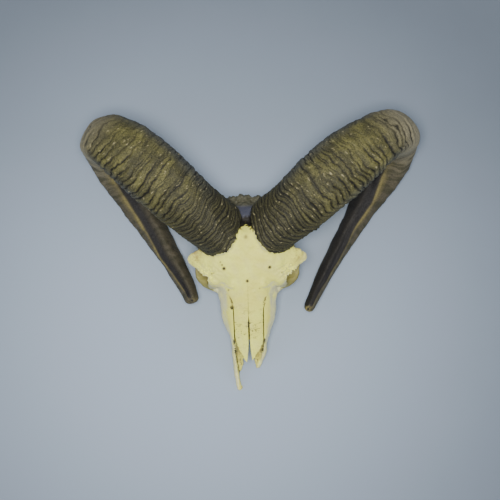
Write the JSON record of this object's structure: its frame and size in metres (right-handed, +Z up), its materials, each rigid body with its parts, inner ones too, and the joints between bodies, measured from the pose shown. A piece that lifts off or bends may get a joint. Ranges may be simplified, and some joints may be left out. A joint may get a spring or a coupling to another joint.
{
  "type": "ram skull",
  "caption": "Skull of a wild ram with two curled, ridged horns and upper cheek teeth, without its lower jaw, resting on its horns and its muzzle.",
  "frame": {"origin": "middle of the base of the bounding box, on the floor the skull rests on", "axes": "+X towards the animal's left, +Y towards the back of the skull, +Z up; the muzzle points to -Y"},
  "size_m": [0.4132, 0.3304, 0.1935],
  "materials": {
    "bone": "dry, pale cream, slightly porous",
    "cheekbone": "dry, stained ochre",
    "horn": "dull, ridged, olive brown"
  },
  "bodies": {
    "root": {"cranium": "bone", "occipital": "bone", "maxilla_left": "bone", "maxilla_right": "bone", "premaxilla_left": "bone", "premaxilla_right": "bone", "nasal_left": "bone", "nasal_right": "bone", "zygomatic_left": "cheekbone", "zygomatic_right": "cheekbone", "horn_left": "horn", "horn_right": "horn"}
  },
  "joints": []
}
